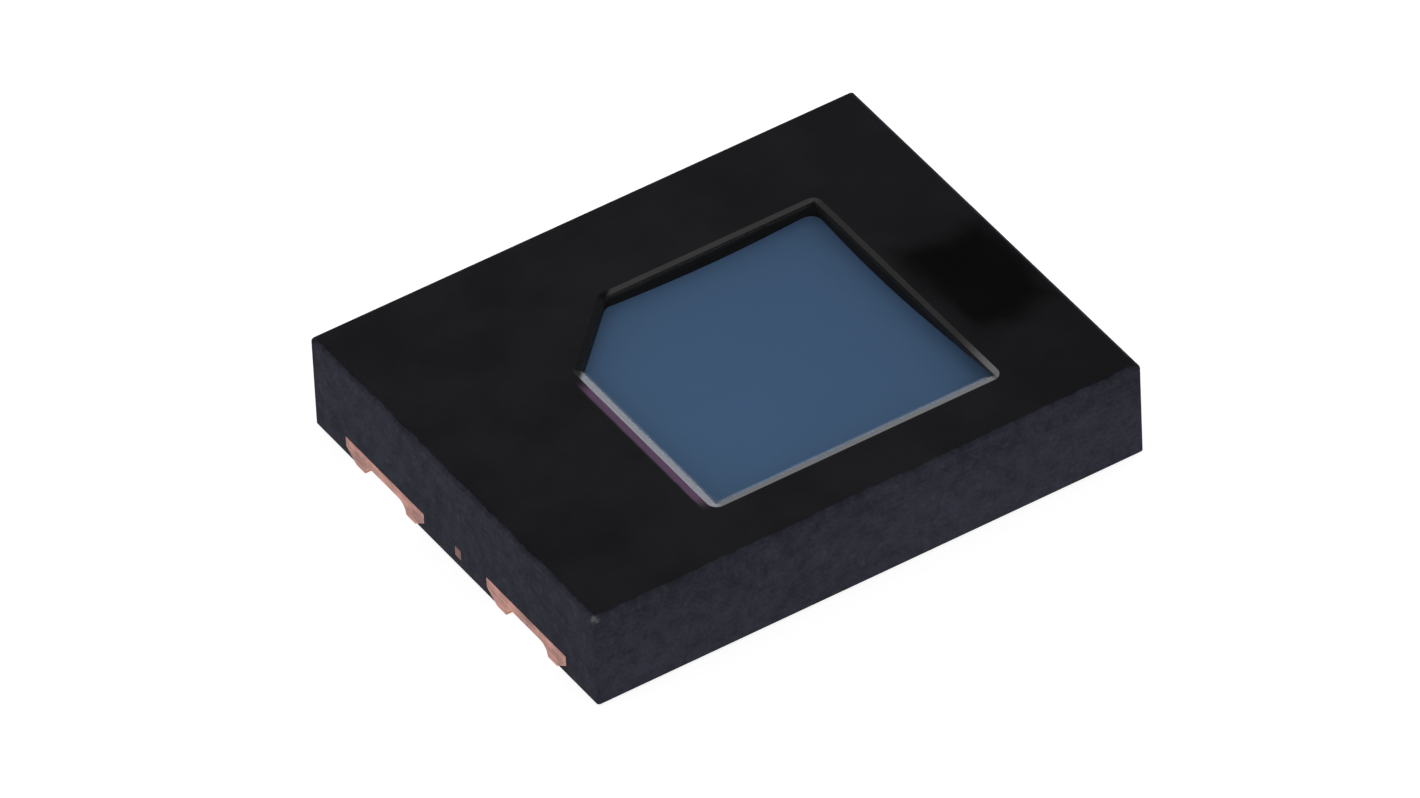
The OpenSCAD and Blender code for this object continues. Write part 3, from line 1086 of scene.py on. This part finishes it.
class PHOTODIODE_OT_wire(PieceOperator, bpy.types.Operator):
    """Round gold wire from its ball on the die to its stitch on the anode terminal"""

    bl_idname = "photodiode.wire"
    bl_label = "Bond wire"

    path_steps = 40
    sides = 16
    ball_segments = 24
    ball_rings = 12
    # Places along the route where the wire is led level, and where it comes down
    level_parts = (0.0, 0.5, 0.8)
    landing_part = 0.9

    def execute(self, context):
        look = self.look(context).wire
        finish = drawn_gold(look)
        bm = bmesh.new()
        points = [bm.verts.new(p) for p in self.path(look)]
        for pair in zip(points, points[1:]):
            bm.edges.new(pair)
        obj = self.sweep(look, mesh_object("gold_wire", bm), finish)
        smooth(obj)
        hand_over(obj, finish, "gold_wire", "bond_wire")
        return {"FINISHED"}

    def path(self, look):
        """Up from the ball, level over the die's edge, and down to the stitch, in one upright plane."""
        half = look.thickness / MM / 2
        ball = ball_place(look)
        middle = (ANODE_LOW + ANODE_HIGH).y / 2
        end = Vector((ANODE_HIGH.x - look.stitch_inset / MM, middle, ANODE_HIGH.z + half))
        stitch = end - (end - ball).to_2d().normalized().to_3d() * look.stitch / MM
        start = ball + Vector((0.0, 0.0, look.ball_height / MM / 2))
        loop = MOULD_HIGH.z - look.loop_cover / MM - half
        edge = look.ball_inset / MM / (ball.x - stitch.x)
        level = [(edge + part * (1 - edge), loop) for part in self.level_parts]
        controls = [start]
        for part, z in ((0.0, loop), *level, (self.landing_part, end.z), (1.0, end.z)):
            controls.append(start.lerp(stitch, part).to_2d().to_3d() + Vector((0.0, 0.0, z)))
        return [curve_point(controls, k / self.path_steps) for k in range(self.path_steps + 1)] + [end]

    def sweep(self, look, obj, finish):
        """The wire along its path, joined to its ball."""
        g = Growth(
            "bond wire",
            Thickness=look.thickness / MM,
            Sides=self.sides,
            Ball_place=tuple(ball_place(look)),
            Ball_width=look.ball_width / MM,
            Ball_height=look.ball_height / MM,
        )
        line = g.node("GeometryNodeMeshToCurve", None, {"Mesh": g.given("Geometry")})
        section = g.node(
            "GeometryNodeCurvePrimitiveCircle",
            {"mode": "RADIUS"},
            {"Resolution": g.given("Sides"), "Radius": g.given("Thickness") * 0.5},
        )
        inputs = {"Curve": line, "Profile Curve": section, "Fill Caps": True}
        tube = g.node("GeometryNodeCurveToMesh", None, inputs)
        half_width, half_height = g.given("Ball_width") * 0.5, g.given("Ball_height") * 0.5
        size = g.node("ShaderNodeCombineXYZ", None, {"X": half_width, "Y": half_width, "Z": half_height})
        lift = g.node("ShaderNodeCombineXYZ", None, {"Z": half_height})
        spot = g.node("ShaderNodeVectorMath", {"operation": "ADD"}, {0: g.given("Ball_place"), 1: lift})
        inputs = {"Segments": self.ball_segments, "Rings": self.ball_rings, "Radius": 1.0}
        ball = g.node("GeometryNodeMeshUVSphere", None, inputs)
        ball = g.node("GeometryNodeTransform", None, {"Geometry": ball, "Translation": spot, "Scale": size})
        both = g.node("GeometryNodeMeshBoolean", {"operation": "UNION", "solver": "EXACT"}, {"Mesh 2": tube})
        g.tree.links.new(ball.socket, both.socket.node.inputs["Mesh 2"])
        return g.grow(both, obj, finish)


class PHOTODIODE_OT_stage(PieceOperator, bpy.types.Operator):
    """Pale floor, soft light and the camera"""

    bl_idname = "photodiode.stage"
    bl_label = "Studio"

    # Heights between which the low light ends, and directions between which the lamp comes up
    low_light = (0.47, 0.58)
    lamp_behind = (0.1, 0.4)
    lamp_right = (0.05, 0.85)
    # Nearest and farthest thing that the camera sees, as parts of its distance
    clip_parts = (0.01, 20.0)

    def execute(self, context):
        look = self.look(context).stage
        self.camera(context, look)
        self.floor(look)
        self.sky(context, look)
        context.scene.view_settings.view_transform = "Standard"
        return {"FINISHED"}

    def axes(self, look):
        """The camera's right, up and backward directions."""
        a, e, r = look.azimuth, look.elevation, look.roll
        back = Vector((math.sin(a) * math.cos(e), -math.cos(a) * math.cos(e), math.sin(e)))
        level = Vector((math.cos(a), math.sin(a), 0.0))
        upright = back.cross(level)
        right = level * math.cos(r) + upright * math.sin(r)
        return right, back.cross(right), back

    def camera(self, context, look):
        """The photograph's own camera, fitted to the corners of the body."""
        right, up, back = self.axes(look)
        middle = (CAD_BOX[0] + CAD_BOX[1]) / 2
        pixel = look.distance / look.focal_pixels
        data = bpy.data.cameras.new("camera")
        data.sensor_width = SENSOR_WIDTH
        data.lens = look.focal_pixels / PHOTO_WIDTH * SENSOR_WIDTH
        data.clip_start, data.clip_end = [part * look.distance for part in self.clip_parts]
        obj = bpy.data.objects.new("camera", data)
        turn = Matrix((right, up, back)).transposed().to_4x4()
        spot = middle + back * look.distance - right * look.centre_x * pixel - up * look.centre_y * pixel
        obj.matrix_world = Matrix.Translation(spot) @ turn
        context.scene.collection.objects.link(obj)
        context.scene.camera = obj

    def floor(self, look):
        """A pale floor that glows, so that no shadow darkens it."""
        bm = bmesh.new()
        bmesh.ops.create_grid(bm, x_segments=1, y_segments=1, size=look.floor_size / 2)
        obj = mesh_object("floor", bm)
        obj.data.transform(Matrix.Translation((0.0, 0.0, CAD_BOX[0].z - look.floor_drop)))
        f = Finish("pale_floor", Roughness=0.7, Specular_IOR_Level=0.2)
        f.feed(Base_Color=(*look.floor_colour, 1.0), Emission_Color=(1.0, 1.0, 1.0, 1.0))
        f.feed(Emission_Strength=look.floor_glow)
        obj.data.materials.append(f.material)

    def sky(self, context, look):
        """A white tent, brightest at the level of the floor, with a dark card that the top face mirrors."""
        world = bpy.data.worlds.new("studio")
        world.use_nodes = True
        context.scene.world = world
        w = Nodes(world.node_tree)
        _, _, back = self.axes(look)
        mirrored = Vector((-back.x, -back.y, back.z))
        direction = w.node("ShaderNodeTexCoord", output="Generated")
        right, behind, height = w.parts(direction)
        facing = w.node(
            "ShaderNodeVectorMath", {"operation": "DOT_PRODUCT"}, {0: direction, 1: mirrored}, output="Value"
        )
        card = w.step(facing, math.cos(look.card_outer), math.cos(look.card_inner))
        tent = look.sky * (1 - (1 - look.card) * card)
        low = 1 - w.step(height, *self.low_light)
        lamp = low * w.step(behind, *self.lamp_behind) * w.step(right, *self.lamp_right)
        light = w.larger(w.larger(tent, look.horizon * low), look.lamp * lamp)
        background = world.node_tree.nodes["Background"]
        w.give(background.inputs["Strength"], light)
        w.give(background.inputs["Color"], w.mix(lamp, (1.0, 1.0, 1.0), look.lamp_colour))


STEPS = (
    PHOTODIODE_OT_stage,
    PHOTODIODE_OT_mould,
    PHOTODIODE_OT_resin,
    PHOTODIODE_OT_die,
    PHOTODIODE_OT_copper,
    PHOTODIODE_OT_adhesive,
    PHOTODIODE_OT_wire,
)


class PHOTODIODE_PT_panel(bpy.types.Panel):
    """The steps in their order, and the settings"""

    bl_idname = "PHOTODIODE_PT_panel"
    bl_label = "Photodiode"
    bl_space_type = "VIEW_3D"
    bl_region_type = "UI"
    bl_category = "Photodiode"

    def draw(self, context):
        for step in STEPS:
            self.layout.operator(step.bl_idname)
        for group in PhotodiodeLook.__annotations__:
            settings = getattr(context.scene.photodiode, group)
            column = self.layout.box().column()
            column.label(text=group.capitalize())
            for name in type(settings).__annotations__:
                column.prop(settings, name)


CLASSES = (
    MouldLook,
    ResinLook,
    DieLook,
    CopperLook,
    AdhesiveLook,
    WireLook,
    StageLook,
    PhotodiodeLook,
    *STEPS,
    PHOTODIODE_PT_panel,
)


def register():
    for cls in CLASSES:
        bpy.utils.register_class(cls)
    bpy.types.Scene.photodiode = bpy.props.PointerProperty(type=PhotodiodeLook)


def unregister():
    del bpy.types.Scene.photodiode
    for cls in reversed(CLASSES):
        bpy.utils.unregister_class(cls)


def main():
    register()
    for step in STEPS:
        group, name = step.bl_idname.split(".")
        getattr(getattr(bpy.ops, group), name)()


if __name__ == "__main__":
    main()
